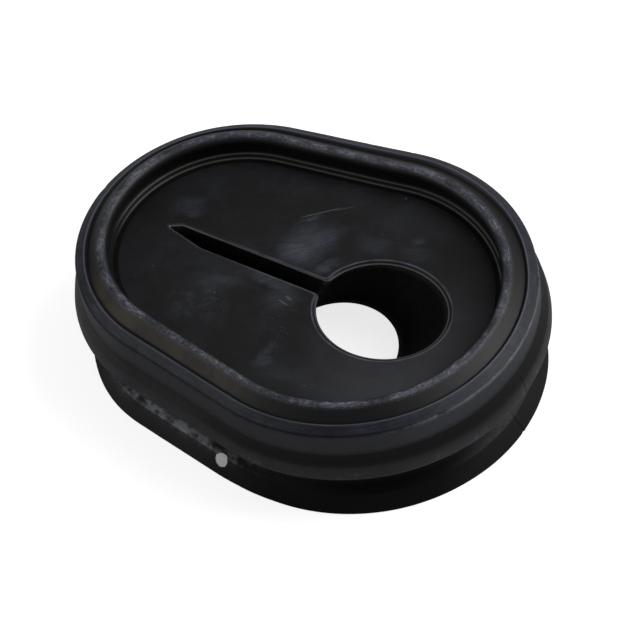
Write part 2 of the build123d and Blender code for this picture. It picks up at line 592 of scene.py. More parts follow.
@dataclass
class SealBody:
    """The whole moulding as one closed grid: rays round the seal by rows round its section."""

    plan: SealPlan = field(default_factory=SealPlan)
    hole: Keyhole = field(default_factory=Keyhole)
    section: RimSection = field(default_factory=RimSection)
    stations: Stations = field(default_factory=Stations)
    uneven: Unevenness = field(default_factory=Unevenness)
    web_rows: int = 7
    under_rows: int = 4
    wall_rows: int = 11
    guard: float = 0.3
    off_rim: float = -10.0
    lip_fade: Pair = (-3.0, 2.0)
    bore_lip: tuple[Pair, ...] = (
        (0.0, 0.75), (0.12, 0.55), (0.32, 0.48), (0.58, 0.48), (0.80, 0.44), (0.92, 0.30), (1.06, 0.12),
        (1.26, 0.03), (1.62, 0.0),
    )
    slit_lip: tuple[Pair, ...] = (
        (0.0, 0.75), (0.02, 0.60), (0.06, 0.47), (0.12, 0.35), (0.21, 0.24), (0.31, 0.15), (0.42, 0.08),
        (0.56, 0.02), (0.72, 0.0),
    )

    def grid(self) -> tuple[np.ndarray, Layout]:
        """Points of the closed grid and what the finish needs to know of them.

        Along a ray the rows run from the keyhole's upper edge over the web, round the rim's section,
        back under the body to the keyhole's lower edge, and up the wall of the keyhole. A rim point is
        E + d N, with E the ray's point on the web's edge and N the edge's normal there.

        Returns:
            (rays, rows, 3) points in millimetres, and their layout.
        """
        foot, way, upper = self.stations.rays(self.hole, Side.UPPER)
        lower = self.stations.rays(self.hole, Side.LOWER)[2]
        edge = foot + way * self.plan.crossing(foot, way)[:, None]
        normal = self.plan.normal(edge)
        rows = self.section.rows()
        rim_xy = edge[:, None] + normal[:, None] * rows[:, :1]
        rim = np.concatenate([rim_xy, np.broadcast_to(rows[:, 1:], rim_xy.shape[:2] + (1,))], -1)
        lip = self.lip(upper)
        # Web rows crowd at both ends, so that its flat shading starts right beside the roundings.
        guard = self.guard / np.linalg.norm(rim[:, 0] - lip[:, -1], axis=1)[:, None]
        evened = guard + (1.0 - 2.0 * guard) * inner_shares(self.web_rows)
        web = between(lip[:, -1], rim[:, 0], np.concatenate([guard, evened, 1.0 - guard], 1))
        low_edge = np.concatenate([lower, np.full((len(lower), 1), self.section.underside_height)], 1)
        under = between(rim[:, -1], low_edge, inner_shares(self.under_rows))
        wall = between(low_edge, lip[:, 0], np.linspace(0.0, 1.0, self.wall_rows)[:-1])
        blocks = [lip, web, rim, under, wall]
        part = np.repeat(np.arange(len(blocks)), [block.shape[1] for block in blocks])
        on_rim = part == Part.RIM
        out, across = np.full(part.size, self.off_rim), np.zeros(part.size)
        height = within(part < Part.RIM, self.section.web_height)
        out[on_rim], height[on_rim] = rows.T
        across[on_rim] = np.r_[0.0, np.cumsum(np.linalg.norm(np.diff(rows, axis=0), axis=1))]
        step = np.linalg.norm(np.diff(edge, axis=0, append=edge[:1]), axis=1)
        layout = Layout(edge, normal, np.cumsum(step) - step, part, out, height, across)
        return np.concatenate(blocks, 1), layout

    def lip(self, upper: np.ndarray) -> np.ndarray:
        """Upper edge of the keyhole, from the top of its wall out to the flat of the web.

        A lip point is K + o A - h Z, with K on the outline, A the way out into the rubber, and o and h
        read row by row. Round the bore the edge is a low step with a raised inner line. Along the slit
        it is a plain rounding, and the two pass into each other inside the mouth.

        Args:
            upper: (n, 2) outline of the keyhole on the web.

        Returns:
            (n, rows, 3) points in millimetres.
        """
        mouth = self.hole.bore_x - self.hole.half_axes(Side.UPPER)[0]
        bore = smooth(mouth + self.lip_fade[0], mouth + self.lip_fade[1], upper[:, 0])[:, None, None]
        rows = np.array(self.slit_lip) * (1.0 - bore) + np.array(self.bore_lip) * bore
        xy = upper[:, None] + self.away(upper)[:, None] * rows[..., :1]
        return np.concatenate([xy, self.section.web_height - rows[..., 1:]], -1)

    def away(self, outline: np.ndarray) -> np.ndarray:
        """Unit directions that point from an outline's opening into the rubber around it.

        Args:
            outline: (n, 2) closed outline, counter-clockwise.

        Returns:
            (n, 2) directions at right angles to the mean of the edges before and after each point.
        """
        ahead = unit(np.roll(outline, -1, axis=0) - outline)
        along = ahead + np.roll(ahead, 1, axis=0)
        return unit(np.stack([along[:, 1], -along[:, 0]], 1))

    def shape(self, points: np.ndarray, layout: Layout) -> np.ndarray:
        """Unevenness of the real moulding: slow waves, a swollen foot, nicks and the mould split.

        Each is a push along the edge's normal N: a sum of sines on the outer walls, a wide hump on the
        foot along the near straight, bell-shaped dents at the ledge's sharp edge, a thin ridge with a
        shallow slot beside it where the mould parts at the large end, and a fuller outer wall at the
        back left. The bead and the well are leant towards the small end.

        Args:
            points: grid in millimetres.
            layout: its layout.

        Returns:
            The moved grid, with the same layout.
        """
        c, by = self.section.corners(), self.uneven
        d, z = layout.out[None, :], layout.height[None, :]
        x, y = layout.edge.T[:, :, None]
        nx, ny = layout.normal.T[:, :, None]
        band_z = c["band_foot"][1]
        field_y = y / by.wave_length + z / by.wave_rise
        slow = by.wave * waves(x / by.wave_length + 0 * d, field_y, by.wave_seed) * smooth(*by.wave_fade, d)
        first, last = by.swell_span
        near = (y < 0) * smooth(first, first + by.swell_ease, x) * smooth(last, last - by.swell_ease, x)
        swell = by.swell * near * smooth(*by.swell_top, z) * smooth(*by.swell_out, d)
        bite = waves(layout.around[:, None] / by.nick_length + 0 * d, z / by.nick_length, by.nick_seed)
        nicks = -by.nick * smooth(*by.nick_level, bite) * bell(d, z, c["ledge_edge"], by.nick_corner)
        low = smooth(band_z, band_z - by.ridge_top, z) * smooth(*by.ridge_out, d)
        ridge = (by.ridge * hump(y, *by.ridge_place) - by.slot * hump(y, *by.slot_place)) * low
        notch = -by.notch * hump(y, *by.notch_place) * smooth(*by.notch_top, z) * smooth(*by.notch_out, d)
        facing = ny * by.back_way[1] + nx * by.back_way[0]
        back = by.back * smooth(*by.back_fade, facing) * smooth(*by.back_out, d)
        outside = (layout.part == Part.RIM)[None, :] & (d > by.inner_wall)
        push = within(outside, slow + swell + nicks + within(x > 0, ridge) + within(x > 0, notch) + back)
        moved = points.copy()
        moved[:, :, :2] += push[:, :, None] * layout.normal[:, None, :]
        on_web = layout.part == Part.WEB
        above = (layout.part == Part.RIM) & (layout.height > self.section.web_height - 1.0)
        rows = within(above, smooth(*by.well_out, layout.out))
        rows[on_web] = np.linspace(0.0, 1.0, on_web.sum() + 1)[1:]
        lean = smooth(*by.well_span, x) * rows
        moved[:, :, :2] += lean[:, :, None] * np.array(by.well_shift)
        return moved

    def normals(self, points: np.ndarray, layout: Layout) -> np.ndarray:
        """Unit normals weighted by area, so that wide flats stay flat beside their narrow roundings.

        A face's normal is half the cross product of its diagonals. Each point sums those of the four
        faces round it. The web's own points face straight up.

        Args:
            points: (rays, rows, 3) closed grid.
            layout: its layout.

        Returns:
            (rays, rows, 3) unit normals.
        """
        right = np.roll(points, -1, axis=0)
        face = np.cross(np.roll(points, -1, axis=1) - right, np.roll(right, -1, axis=1) - points)
        total = face + np.roll(face, 1, axis=0)
        normals = unit(total + np.roll(total, 1, axis=1))
        normals[:, layout.part == Part.WEB] = (0.0, 0.0, 1.0)
        return normals

    def build(self) -> bpy.types.Object:
        """Makes the seal's object from the closed grid.

        Returns:
            The object, with its masks as point attributes.
        """
        points, layout = self.grid()
        moved = self.shape(points, layout)
        index = np.arange(moved[..., 0].size).reshape(moved.shape[:2])
        right = np.roll(index, -1, axis=0)
        quads = np.stack([index, np.roll(index, -1, axis=1), np.roll(right, -1, axis=1), right], -1)
        quads = quads.reshape(-1, 4).astype(np.int32)
        mesh = bpy.data.meshes.new("column_seal_skin")
        mesh.vertices.add(index.size)
        mesh.vertices.foreach_set("co", (moved * MM).astype(np.float32).ravel())
        mesh.loops.add(quads.size)
        mesh.loops.foreach_set("vertex_index", quads.ravel())
        mesh.polygons.add(len(quads))
        mesh.polygons.foreach_set("loop_start", np.arange(0, quads.size, 4, dtype=np.int32))
        mesh.update(calc_edges=True)
        mesh.validate()
        mesh.shade_smooth()
        mesh.normals_split_custom_set_from_vertices(self.normals(moved, layout).reshape(-1, 3))
        for name, values in Tones(self, points, layout).masks().items():
            layer = mesh.attributes.new(name, "FLOAT", "POINT")
            layer.data.foreach_set("value", np.ascontiguousarray(values, dtype=np.float32).ravel())
        return put(mesh.name, mesh)


class Tones:
    """Masks of the finish at each point of the grid, from 0 to 1, by the zones of the moulding: wear, and
    painted highlights, reflections and shade.

    A fade, start, end or front passes from 0 at its first value to 1 at its second. A row of the lip
    and an angle on the bead are a middle and a half width. A way weights x and y. Lengths are in
    millimetres and angles in degrees.
    """

    bore_fade: Pair = (-24.5, -19.5)
    mouth_fade: Pair = (-34.0, -6.0)
    tip_fade: Pair = (-30.0, -44.0)
    brim_row: Pair = (7.6, 0.8)
    brim_in_row: Pair = (1.6, 1.1)
    brim_dark_row: Pair = (5.0, 1.2)
    slit_row: Pair = (3.6, 1.6)
    low_edge_width: float = 0.5
    flat_row: int = 6
    right_dark_way: Pair = (0.80, 0.70)
    right_dark_fade: Pair = (30.0, 66.0)
    left_dark_way: Pair = (1.0, -0.3)
    left_dark_fade: Pair = (-18.0, -58.0)
    glow_centre: Pair = (44.0, -16.0)
    glow_squash: float = 0.8
    glow_fade: Pair = (36.0, 8.0)
    far_way: Pair = (-0.2, 0.94)
    far_fade: Pair = (-0.15, 0.35)
    end_fade: Pair = (0.55, 0.95)
    straight_start: Pair = (-64.0, -50.0)
    straight_end: Pair = (22.0, 2.0)
    core_angle: Pair = (92.0, 28.0)
    crest_start: Pair = (28.0, 62.0)
    crest_end: Pair = (142.0, 112.0)
    crest_out_angle: Pair = (74.0, 15.0)
    near_left_fade: Pair = (10.0, -20.0)
    right_end_fade: Pair = (64.0, 74.0)
    front_near: Pair = (-0.2, -0.75)
    front_left: Pair = (-0.45, -0.05)
    front_right: Pair = (0.9, 0.6)

    def __init__(self, body: SealBody, points: np.ndarray, layout: Layout) -> None:
        """Keeps the corners, the places and the zones that the masks are worked out from.

        Args:
            body: the seal.
            points: its grid in millimetres, before it was made uneven.
            layout: the grid's layout.
        """
        shape = points.shape[:2]
        self.corners = c = body.section.corners()
        self.section, self.hole, self.layout = body.section, body.hole, layout
        self.x, self.y, self.up = np.moveaxis(points, -1, 0)
        rows = (layout.part, layout.out, layout.height)
        self.part, self.d, self.z = (np.broadcast_to(row, shape) for row in rows)
        self.nx, self.ny = layout.normal.T[:, :, None]
        d, z = self.d, self.z
        self.rim = self.part == Part.RIM
        self.bead = self.rim & (z > c["wall_top"][1] - 0.6) & (d < c["groove"][0])
        self.bead_angle = np.degrees(np.arctan2(z - c["bead"][1], d - c["bead"][0]))
        self.ledge = self.rim & (d >= c["groove"][0]) & (z > c["ledge_edge"][1] - 0.4)
        self.outer = self.rim & (d > 10.0) & (z > c["rim"][1] - 1.2)
        self.row = np.cumsum(self.part == Part.LIP, axis=1) - 1
        start, end = self.bore_fade
        self.bore = smooth(self.hole.bore_x + start, self.hole.bore_x + end, self.x[:, :1])

    def lip_row(self, row: float, half_width: float) -> np.ndarray:
        """Line round the keyhole at a row of its lip."""
        return within(self.part == Part.LIP, hump(self.row, row, half_width))

    def lip(self) -> Masks:
        """Painted lines of the keyhole's edge: highlights on the bore's step, the slit's rounding and the
        edge underneath, and shade inside the bore's step.

        Returns:
            The masks by name.
        """
        bore = self.bore
        mouth = smooth(*self.mouth_fade, self.x[:, :1])
        tip = smooth(*self.tip_fade, self.x[:, :1])
        low = hump(self.up, self.section.underside_height, self.low_edge_width)
        return {
            "brim": self.lip_row(*self.brim_row) * (bore + (1.0 - bore) * (0.35 + 0.65 * mouth)),
            "brim_in": self.lip_row(*self.brim_in_row) * bore,
            "brim_dark": self.lip_row(*self.brim_dark_row) * bore,
            "slit_line": self.lip_row(*self.slit_row) * (1.0 - bore) * (0.6 + 0.4 * tip),
            "low_edge": within(self.part == Part.WALL, low) * bore,
        }

    def web(self) -> Masks:
        """The flat web, with painted shade at its ends and a painted pool of light in its middle near the
        bore.

        Returns:
            The masks by name.
        """
        x, y = self.x, self.y
        lip_flat = (self.part == Part.LIP) & (self.row > self.flat_row)
        rim_flat = self.rim & (self.d < -0.3) & (self.z < self.section.web_height + 0.2)
        level = (self.part == Part.WEB) | lip_flat | rim_flat
        (right_x, right_y), (left_x, left_y) = self.right_dark_way, self.left_dark_way
        right_dark = smooth(*self.right_dark_fade, right_x * x + right_y * y)
        left_dark = smooth(*self.left_dark_fade, left_x * x + left_y * y)
        off_glow = np.hypot(x - self.glow_centre[0], self.glow_squash * (y - self.glow_centre[1]))
        return {
            "web": level.astype(float),
            "shade": within(level, np.maximum(right_dark, 0.75 * left_dark)),
            "glow": within(level, smooth(*self.glow_fade, off_glow)),
        }

    def section_zones(self) -> Masks:
        """Lines of the rim's section, from the step in the well to the foot: wear, painted highlights and
        reflections, painted shade and the mould's parting line.

        Returns:
            The masks by name.
        """
        c, d, z, rim = self.corners, self.d, self.z, self.rim
        (ledge_x, ledge_z), (groove_x, _), (inner_x, _) = c["ledge_edge"], c["groove"], c["ledge_in"]
        band_z, rim_z, flank_x = c["band_foot"][1], c["rim"][1], c["flank_top"][0]
        shoulder_x, shoulder_z = c["shoulder"]
        step_foot = (self.section.step_foot_out, self.section.web_height)
        angle, top = self.bead_angle, self.bead & (d < flank_x + 1.2)
        far_side = smooth(*self.far_fade, self.ny * self.far_way[1] + self.nx * self.far_way[0])
        ends = smooth(*self.end_fade, abs(self.nx) + 0.5 * (self.ny > 0))
        near = self.y < 0
        straight = smooth(*self.straight_start, self.x) * smooth(*self.straight_end, self.x) * near
        split = hump(d - 0.5 * (shoulder_z - z), shoulder_x - 0.55, 0.2)
        return {
            "step_foot": within(rim & (z < 37.5), bell(d, z, step_foot, 0.26)) * far_side,
            "step_top": within(rim & (z < 39.0), bell(d, z, c["step_top"], 0.28)) * far_side,
            "core": within(top, hump(angle, *self.core_angle)),
            "crest": within(top, smooth(*self.crest_start, angle) * smooth(*self.crest_end, angle)),
            "crest_out": within(top, hump(angle, *self.crest_out_angle)),
            "flank": within(self.bead, smooth(flank_x - 0.5, flank_x + 0.4, d)),
            "groove": within(rim & (z > ledge_z), hump(d, groove_x + 0.1, 0.45)),
            "inner_line": within(rim & (z > ledge_z), hump(d, inner_x + 0.05, 0.24)),
            "ledge": within(self.ledge, smooth(groove_x + 0.2, inner_x, d)),
            "edge_dark": within(self.ledge, hump(d, ledge_x - 0.25, 0.24)),
            "edge_line": within(self.outer | self.ledge, bell(d, z, c["ledge_edge"], 0.4)) * ends,
            "band": within(
                self.outer, smooth(band_z - 0.2, band_z + 0.4, z) * smooth(ledge_z, ledge_z - 0.5, z)
            ),
            "crease": within(self.outer, hump(z, band_z, 0.35)),
            "low_rim": within(self.outer, hump(z, rim_z + 0.8, 2.6)),
            "foot": within(rim & (z < shoulder_z + 3.0) & (d > 5.4), 1.0),
            "shoulder": within(rim, bell(d, z, (shoulder_x - 1.4, shoulder_z + 0.9), 1.9)),
            "parting": within(rim & (z < 9.0), split) * straight,
            "warm": within(rim, straight),
        }

    def dull(self) -> np.ndarray:
        """Share of painted shade, a darker and less shiny copy of the rubber: the greatest of what each
        hollow or shaded zone asks for.

        Returns:
            The mask.
        """
        c, d, z, rim = self.corners, self.d, self.z, self.rim
        band_z, rim_z, ledge_z = c["band_foot"][1], c["rim"][1], c["ledge_edge"][1]
        well = rim & (d < 1.6) & (z < c["bead"][1] + 0.3)
        neck = rim & (z < rim_z - 1.2) & (z > c["neck_foot"][1] - 0.2) & (d < 13.0)
        near_left = smooth(*self.near_left_fade, self.x) * (self.ny < 0)
        right_end = smooth(*self.right_end_fade, self.x)
        front = smooth(*self.front_near, self.ny) * smooth(*self.front_left, self.nx)
        front = front * smooth(*self.front_right, self.nx)
        # Painted shade: the underside and the bore's wall, the well, the neck under the bulge, the dark band
        # below the upright band, the foot away from the lit straight, and the front of the bead, band and
        # ledge.
        zones = [
            (self.part >= Part.UNDER, 1.0),
            (well, 0.35 + 0.45 * (z < c["wall_foot"][1] + 0.4)),
            (neck, 0.85),
            (self.outer, (0.75 - 0.6 * near_left) * hump(z, band_z - 2.3, 2.8)),
            (rim & (z < 8.8) & (d > 5.0), 0.62 * (1.0 - near_left) * (1.0 - 0.8 * right_end)),
            (self.bead & (self.bead_angle < 62.0), 0.40 * front),
            (self.outer & (z < ledge_z - 0.3) & (z > rim_z), 0.35 * front),
            (self.ledge, 0.30 * front),
        ]
        return np.maximum.reduce([within(test, share) for test, share in zones])

    def masks(self) -> Masks:
        """All masks, with the distances round the seal and over its section.

        Returns:
            The masks by name, from 0 to 1, and the two distances in metres.
        """
        along = np.broadcast_to(self.layout.around[:, None] * MM, self.part.shape)
        across = np.broadcast_to(self.layout.across[None, :] * MM, self.part.shape)
        places = {"dull": self.dull(), "along": along, "across": across}
        return self.lip() | self.web() | self.section_zones() | places


class Link:
    """A socket or number in shader maths: an expression on links adds its Math nodes."""

    def __init__(self, sheet: "NodeSheet", value: object) -> None:
        """Keeps the sheet that the nodes go on and the socket or number."""
        self.sheet = sheet
        self.value = value

    def __add__(self, other: object) -> "Link":
        """Sum."""
        return self.sheet.math("ADD", self, other)

    def __radd__(self, other: object) -> "Link":
        """Sum with a number first."""
        return self.sheet.math("ADD", other, self)

    def __sub__(self, other: object) -> "Link":
        """Difference."""
        return self.sheet.math("SUBTRACT", self, other)

    def __rsub__(self, other: object) -> "Link":
        """Difference from a number."""
        return self.sheet.math("SUBTRACT", other, self)

    def __mul__(self, other: object) -> "Link":
        """Product."""
        return self.sheet.math("MULTIPLY", self, other)

    def __rmul__(self, other: object) -> "Link":
        """Product with a number first."""
        return self.sheet.math("MULTIPLY", other, self)

    def clamp(self) -> "Link":
        """The value held between 0 and 1."""
        return self.sheet.math("ADD", self, 0.0, clamp=True)

    def step(self, low: float, high: float) -> "Link":
        """Smooth step of the value from 0 at low to 1 at high, as a Map Range node."""
        node = self.sheet.add(
            "MapRange",
            {"interpolation_type": "SMOOTHSTEP"},
            Value=self, From_Min=low, From_Max=high, To_Min=0.0, To_Max=1.0,
        )
        return Link(self.sheet, node.outputs["Result"])


class NodeSheet:
    """Node tree of one material or world, with one method that makes every node."""

    def __init__(self, owner: bpy.types.Material | bpy.types.World) -> None:
        """Starts with an empty tree.

        Args:
            owner: the material or world that the nodes belong to.
        """
        owner.use_nodes = True
        self.tree = owner.node_tree
        self.tree.nodes.clear()

    def add(self, kind: str, settings: dict[str, object] | None = None, **sockets: object) -> bpy.types.Node:
        """Makes one node.

        Args:
            kind: shader node type, such as "Math".
            settings: properties set first, such as a Math node's operation.
            sockets: inputs by name with spaces as underscores, or by index as i0, i1 and so on. A node
                gives its first output.

        Returns:
            The node.
        """
        node = self.tree.nodes.new("ShaderNode" + kind)
        for key, value in (settings or {}).items():
            setattr(node, key, value)
        for key, value in sockets.items():
            by_index = key[0] == "i" and key[1:].isdigit()
            socket = node.inputs[int(key[1:]) if by_index else key.replace("_", " ")]
            value = value.value if isinstance(value, Link) else value
            value = value.outputs[0] if isinstance(value, bpy.types.Node) else value
            if isinstance(value, bpy.types.NodeSocket):
                self.tree.links.new(value, socket)
            elif value is not None:
                socket.default_value = value
        return node

    def math(self, operation: str, *terms: object, clamp: bool = False) -> Link:
        """Adds a Math node.

        Args:
            operation: what it works out.
            terms: its inputs in order.
            clamp: whether its result is held between 0 and 1.

        Returns:
            Its result.
        """
        inputs = {f"i{i}": term for i, term in enumerate(terms)}
        node = self.add("Math", {"operation": operation, "use_clamp": clamp}, **inputs)
        return Link(self, node.outputs[0])

    def vector(self, operation: str, *terms: object, output: str = "Vector") -> bpy.types.NodeSocket:
        """A Vector Math node's result, with its inputs in order; None leaves one out."""
        inputs = {f"i{i}": term for i, term in enumerate(terms)}
        return self.add("VectorMath", {"operation": operation}, **inputs).outputs[output]

    def attribute(self, name: str) -> Link:
        """A point attribute of the mesh."""
        node = self.add("Attribute", {"attribute_type": "GEOMETRY", "attribute_name": name})
        return Link(self, node.outputs["Fac"])

    def noise(self, vector: object, scale: float, detail: float, roughness: float) -> Link:
        """Noise round 0.5, by cells in a metre, octaves and weight of the finer octaves."""
        node = self.add("TexNoise", Vector=vector, Scale=scale, Detail=detail, Roughness=roughness)
        return Link(self, node.outputs["Fac"])

    def mix(self, factor: object, a: object, b: object) -> bpy.types.NodeSocket:
        """Colour between a and b, with the factor as b's share."""
        node = self.add("Mix", {"data_type": "RGBA", "clamp_factor": True}, i0=factor, i6=a, i7=b)
        return node.outputs[2]

    def placed(self, vector: object, centre: Pair, turn: float, scale: Triple) -> bpy.types.Node:
        """Coordinates from a centre in millimetres, turned about Z by degrees and divided by scales."""
        return self.add(
            "Mapping",
            {"vector_type": "TEXTURE"},
            Vector=vector, Location=(centre[0] * MM, centre[1] * MM, 0.0),
            Rotation=(0.0, 0.0, radians(turn)), Scale=scale,
        )

    def patch(self, vector: object, centre: Pair, size: Pair, turn: float, soft: float) -> Link:
        """Mask of a turned rectangle on the web, 1 inside and 0 outside, with soft sides.

        Args:
            vector: object coordinates in metres, moved by noise for ragged sides.
            centre: its middle in millimetres.
            size: its half length and half width in millimetres.
            turn: angle of its length from +X in degrees.
            soft: share of each half side over which it fades.

        Returns:
            The mask.
        """
        local = self.placed(vector, centre, turn, (size[0] * MM, size[1] * MM, 1.0))
        parts = self.add("SeparateXYZ", Vector=local).outputs
        u, v = (self.math("ABSOLUTE", part).step(1.0, 1.0 - soft) for part in (parts[0], parts[1]))
        return u * v

    def ball(self, vector: object, centre: Triple, radius: float, soft: float) -> Link:
        """Mask of the points nearer to a centre than a radius, both in millimetres."""
        away = self.vector("DISTANCE", vector, tuple(v * MM for v in centre), output="Value")
        return Link(self, away).step((radius + soft) * MM, (radius - soft) * MM)

    def by_camera(self, unseen: bpy.types.Node, seen: bpy.types.Node) -> bpy.types.Node:
        """One shader for all rays but the camera's, and another for those."""
        path = self.add("LightPath").outputs["Is Camera Ray"]
        return self.add("MixShader", i0=path, i1=unseen, i2=seen)


@dataclass(frozen=True)
class WebMark:
    """One mark on the web: a ragged, grainy patch or a clean stroke, in millimetres and degrees."""

    centre: Pair
    size: Pair
    turn: float
    strength: float
    grain: float

    def mask(self, sheet: NodeSheet, clean: object, ragged: object, grain: Link) -> Link:
        """The mark's share of haze: its rectangle, on ragged coordinates if it is grainy.

        Args:
            sheet: the material's nodes.
            clean: object coordinates.
            ragged: the same, moved by noise.
            grain: the brushed grain.

        Returns:
            The mask, up to the mark's strength.
        """
        loose = self.grain > 0.5
        patch = sheet.patch(
            ragged if loose else clean, self.centre, self.size, self.turn, 0.85 if loose else 0.5
        )
        return patch * (grain * self.grain + (1.0 - self.grain)) * self.strength


@dataclass(frozen=True)
class RubberFinish:
    """Black moulded rubber with wear on its crests, a brushed ledge, scuffs, a dab of paint, and painted
    highlights, reflections and shade.

    Patterns are (cells in a metre, octaves, weight of the finer octaves).
    """

    base: Colour = (0.0058, 0.0056, 0.0066, 1.0)
    # Darker rubber: painted shade in the groove and crease, and the dark flash and parting lines.
    deep: Colour = (0.0050, 0.0050, 0.0042, 1.0)
    pit: Colour = (0.0008, 0.0008, 0.0008, 1.0)
    # Pale bluish colour of real wear and of painted highlights.
    wear_and_highlight: Colour = (0.140, 0.149, 0.202, 1.0)
    # Near-white colour of painted highlights.
    painted_highlight: Colour = (0.50, 0.52, 0.60, 1.0)
    # Bluish brushed wear on the ledge; also the tint of the painted reflection on the band below it.
    brushed: Colour = (0.034, 0.038, 0.060, 1.0)
    sheen: Colour = (0.034, 0.034, 0.037, 1.0)
    # Pale haze of the web's marks; also the tint of the painted reflection on the bulge's lower rounding.
    haze: Colour = (0.080, 0.088, 0.112, 1.0)
    # Colour of the painted highlight lines.
    line: Colour = (0.190, 0.184, 0.170, 1.0)
    # Warm tint of the painted reflection on the bead's outer slope.
    warm_reflection: Colour = (0.046, 0.031, 0.020, 1.0)
    paint: Colour = (0.94, 0.94, 0.92, 1.0)
    dab: Triple = (-1.2, -55.9, 5.0)
    dab_radius: float = 2.35
    dab_wobble: float = 0.9
    nick: Triple = (-51.1, -24.2, 34.5)
    nick_radius: float = 0.75
    fine: Triple = (2400.0, 3.0, 0.6)
    grit: Triple = (1000.0, 4.0, 0.7)
    mottle: Triple = (420.0, 4.0, 0.65)
    patchy: Triple = (110.0, 3.0, 0.6)
    cloud: Triple = (55.0, 3.0, 0.55)
    slow: Triple = (14.0, 2.0, 0.5)
    streak: Triple = (95.0, 5.0, 0.7)
    hair: Triple = (260.0, 3.0, 0.6)
    broken: Triple = (300.0, 3.0, 0.6)
    clouds: Triple = (34.0, 4.0, 0.6)
    blotch: Triple = (120.0, 4.0, 0.65)
    fleck: Triple = (1300.0, 2.0, 0.6)
    brush: Triple = (1.0, 5.0, 0.75)
    brush_turn: float = 40.0
    brush_size: Triple = (4.0, 0.5, 4.0)
    arc_centre: Pair = (-62.0, -20.0)
    arc_scale: float = 360.0
    speck_scale: float = 170.0
    streak_stretch: float = 22.0
    ragged_scale: float = 260.0
    ragged_shift: float = 5.0
    bump_depth: float = 0.16
    marks: tuple[WebMark, ...] = (
        WebMark((-7.2, 13.6), (10.5, 13.5), -6.0, 0.66, 1.0),
        WebMark((-9.8, 8.6), (7.5, 6.0), -10.0, 0.42, 1.0),
        WebMark((-2.6, 20.0), (5.0, 7.0), -20.0, 0.25, 1.0),
        WebMark((-10.1, 26.9), (8.2, 0.30), 43.0, 0.9, 0.3),
        WebMark((-12.0, 23.0), (6.4, 0.8), 43.0, 0.45, 1.0),
        WebMark((-4.2, 31.6), (4.0, 0.20), 40.0, 0.6, 0.2),
        WebMark((-50.5, 11.0), (7.5, 5.5), 35.0, 0.42, 1.0),
        WebMark((-47.5, 8.4), (3.6, 2.0), 30.0, 0.40, 1.0),
        WebMark((-0.9, -8.6), (1.6, 0.5), -18.0, 1.0, 0.2),
        WebMark((-1.4, -11.0), (2.4, 0.35), -12.0, 0.9, 0.2),
        WebMark((-3.0, -10.0), (9.0, 7.0), 60.0, 0.40, 1.0),
        WebMark((-11.0, -5.2), (13.0, 2.8), 0.0, 0.50, 1.0),
        WebMark((-25.0, -12.0), (12.0, 4.0), 15.0, 0.28, 1.0),
        WebMark((5.2, -34.5), (4.5, 3.4), 50.0, 0.45, 1.0),
        WebMark((4.4, -29.0), (3.4, 2.4), 80.0, 0.28, 1.0),
        WebMark((24.4, 30.0), (3.6, 2.2), 60.0, 0.42, 1.0),
        WebMark((12.0, 22.5), (8.0, 5.0), 20.0, 0.26, 1.0),
        WebMark((27.0, 25.0), (8.0, 4.0), 10.0, 0.24, 1.0),
        WebMark((3.0, 7.5), (5.5, 2.6), 60.0, 0.55, 0.8),
        WebMark((42.0, -30.0), (16.0, 9.0), 30.0, 0.16, 1.0),
        WebMark((20.0, -36.0), (18.0, 5.0), 0.0, 0.14, 1.0),
    )
    rubbed: tuple[tuple[Pair, Pair, float, float], ...] = (
        ((2.0, -21.0), (9.0, 19.0), 8.0, 1.0),
        ((-52.0, 8.0), (9.0, 7.0), 0.0, 1.0),
        ((14.0, 26.0), (16.0, 8.0), 10.0, 0.6),
    )
    scuffed: tuple[Pair, Pair, float] = ((-27.0, -22.0), (13.0, 11.0), 30.0)

    def ragged(self, sheet: NodeSheet, coords: object) -> bpy.types.NodeSocket:
        """Coordinates moved at random by noise, less its mean of half a shift.

        Args:
            sheet: the material's nodes.
            coords: object coordinates.

        Returns:
            The moved coordinates.
        """
        noise = sheet.add("TexNoise", Vector=coords, Scale=self.ragged_scale, Detail=3.0)
        shift = sheet.vector("SCALE", noise.outputs["Color"], None, None, self.ragged_shift * MM)
        mean = (self.ragged_shift / 2.0 * MM,) * 3
        return sheet.vector("SUBTRACT", sheet.vector("ADD", coords, shift), mean)

    def web_marks(self, sheet: NodeSheet, coords: object) -> Link:
        """Haze, brush strokes, scratches, curved scuffs and specks on the flat web.

        Args:
            sheet: the material's nodes.
            coords: object coordinates.

        Returns:
            The haze mask.
        """
        ragged = self.ragged(sheet, coords)
        brushed = sheet.placed(coords, (0.0, 0.0), self.brush_turn, tuple(v * MM for v in self.brush_size))
        grain = sheet.noise(brushed, *self.brush).step(0.34, 0.66) * 0.55 + 0.45
        total = Link(sheet, 0.0) + 0.0
        for mark in self.marks:
            total = total + mark.mask(sheet, coords, ragged, grain)
        to_centre = tuple(-v * MM for v in self.arc_centre) + (0.0,)
        rings = sheet.add(
            "TexWave",
            {"wave_type": "RINGS", "rings_direction": "Z"},
            Vector=sheet.add("Mapping", Vector=coords, Location=to_centre),
            Scale=self.arc_scale, Distortion=2.4, Detail=3.0, Detail_Scale=30.0,
        )
        arcs = Link(sheet, rings.outputs["Fac"]).step(0.55, 0.95)
        scuffed = sheet.patch(ragged, *self.scuffed, 0.8)
        broken = sheet.noise(coords, *self.broken).step(0.46, 0.62)
        total = total + arcs * scuffed * broken * 0.62 + scuffed * grain * 0.10
        cells = sheet.add("TexVoronoi", {"feature": "F1"}, Vector=coords, Scale=self.speck_scale)
        speck = Link(sheet, cells.outputs["Distance"]).step(0.11, 0.04)
        red = sheet.add("SeparateColor", i0=cells.outputs["Color"]).outputs[0]
        total = total + speck * Link(sheet, red).step(0.72, 0.74) * 0.8
        cloud = sheet.noise(coords, *self.clouds).step(0.42, 0.75)
